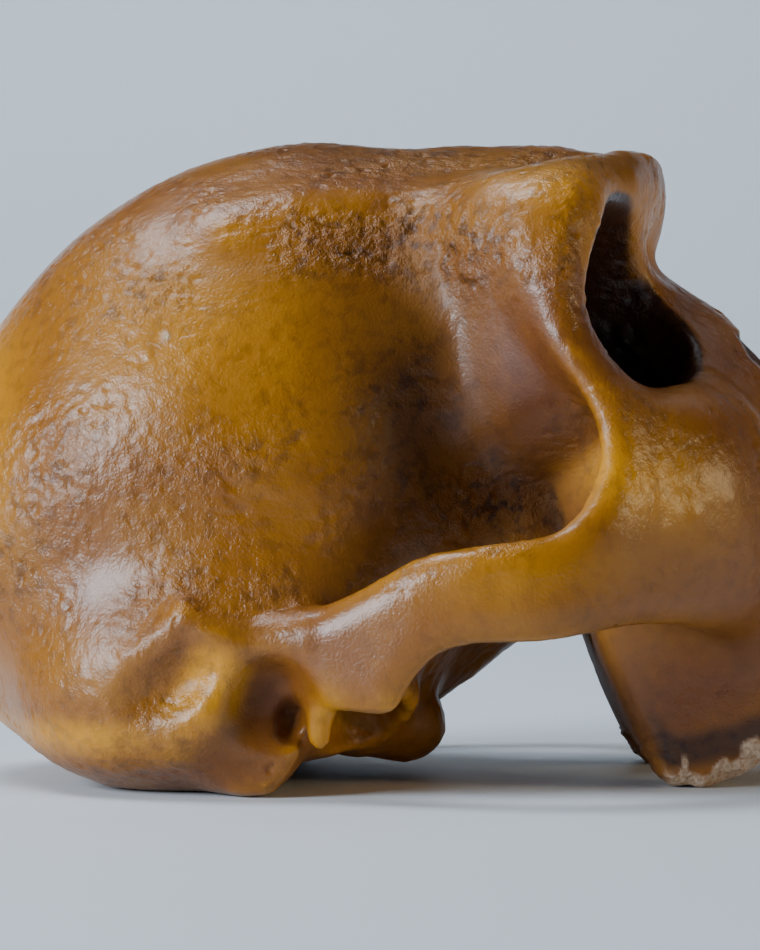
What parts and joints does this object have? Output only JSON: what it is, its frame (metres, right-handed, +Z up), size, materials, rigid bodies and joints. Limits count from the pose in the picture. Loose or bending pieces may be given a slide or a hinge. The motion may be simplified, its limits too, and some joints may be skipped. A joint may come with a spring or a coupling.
{
  "type": "fossil hominin skull",
  "caption": "Life-size museum cast of a toothless fossil hominin skull without its lower jaw, lying on its base and palate.",
  "frame": {"origin": "centre of the bounding box at the level that the skull rests on", "axes": "+X towards the front of the jaw, +Y to the skull's left, +Z up, in the pose in which it lies"},
  "size_m": [0.1881, 0.13, 0.1082],
  "materials": {
    "amber_bone": "varnished cast",
    "ochre_bone": "varnished cast",
    "brown_bone": "varnished cast",
    "russet_bone": "varnished cast"
  },
  "bodies": {
    "root": {"frontal_bone": "brown_bone", "occipital_bone": "ochre_bone", "sphenoid_bone": "russet_bone", "skull_base": "russet_bone", "upper_jaw": "russet_bone", "nasal_bones": "brown_bone", "parietal_right": "ochre_bone", "temporal_right": "brown_bone", "cheek_bone_right": "amber_bone", "parietal_left": "ochre_bone", "temporal_left": "brown_bone", "cheek_bone_left": "amber_bone"}
  },
  "joints": []
}
